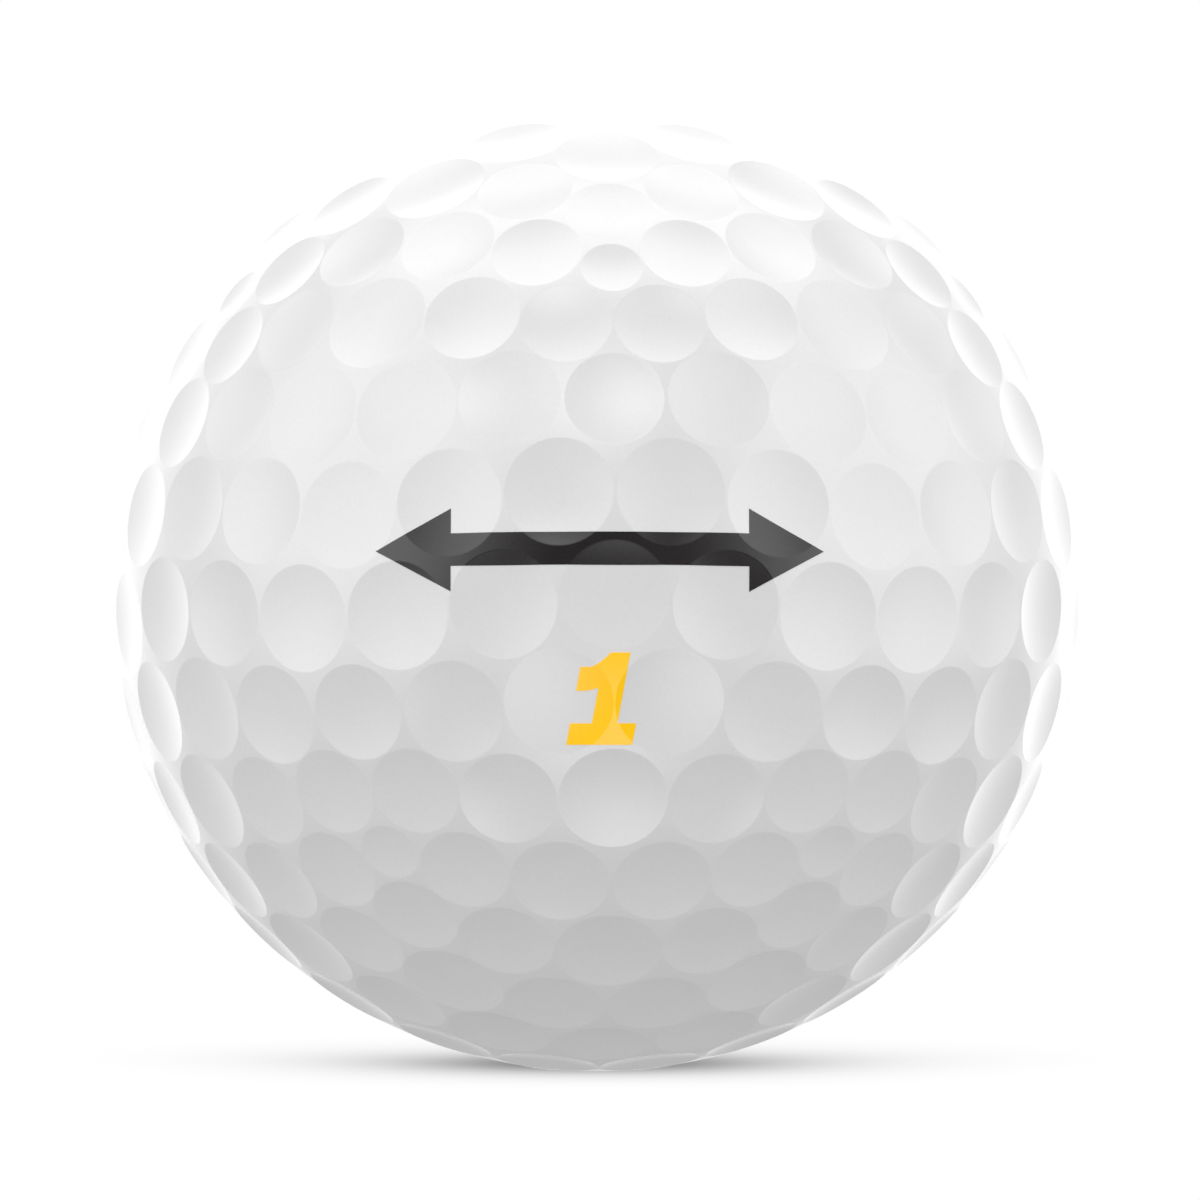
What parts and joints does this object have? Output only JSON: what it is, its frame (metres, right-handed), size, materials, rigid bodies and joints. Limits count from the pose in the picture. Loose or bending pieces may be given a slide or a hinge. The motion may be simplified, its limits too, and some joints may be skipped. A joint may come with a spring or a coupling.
{
  "type": "golf ball",
  "caption": "Solid-core golf ball with a glossy white dimpled cover, a dark alignment mark and a yellow play number printed on the front and the back.",
  "frame": {"origin": "centre of the ball", "axes": "+Z through the poles of the dimple pattern, upwards; the printed front faces -Y and the same print at the back faces +Y; +X is to the right of the front print"},
  "size_m": [0.0426, 0.0428, 0.0424],
  "materials": {
    "core_rubber": "matte cured rubber, hidden inside the cover",
    "cover_white": "white ionomer under a clear glossy coat",
    "ink_dark": "near-black printing ink under the clear coat",
    "ink_yellow": "warm yellow printing ink under the clear coat"
  },
  "bodies": {
    "root": {"core": "core_rubber", "cover": "cover_white", "front_alignment_mark": "ink_dark", "front_play_number": "ink_yellow", "rear_alignment_mark": "ink_dark", "rear_play_number": "ink_yellow"}
  },
  "joints": []
}
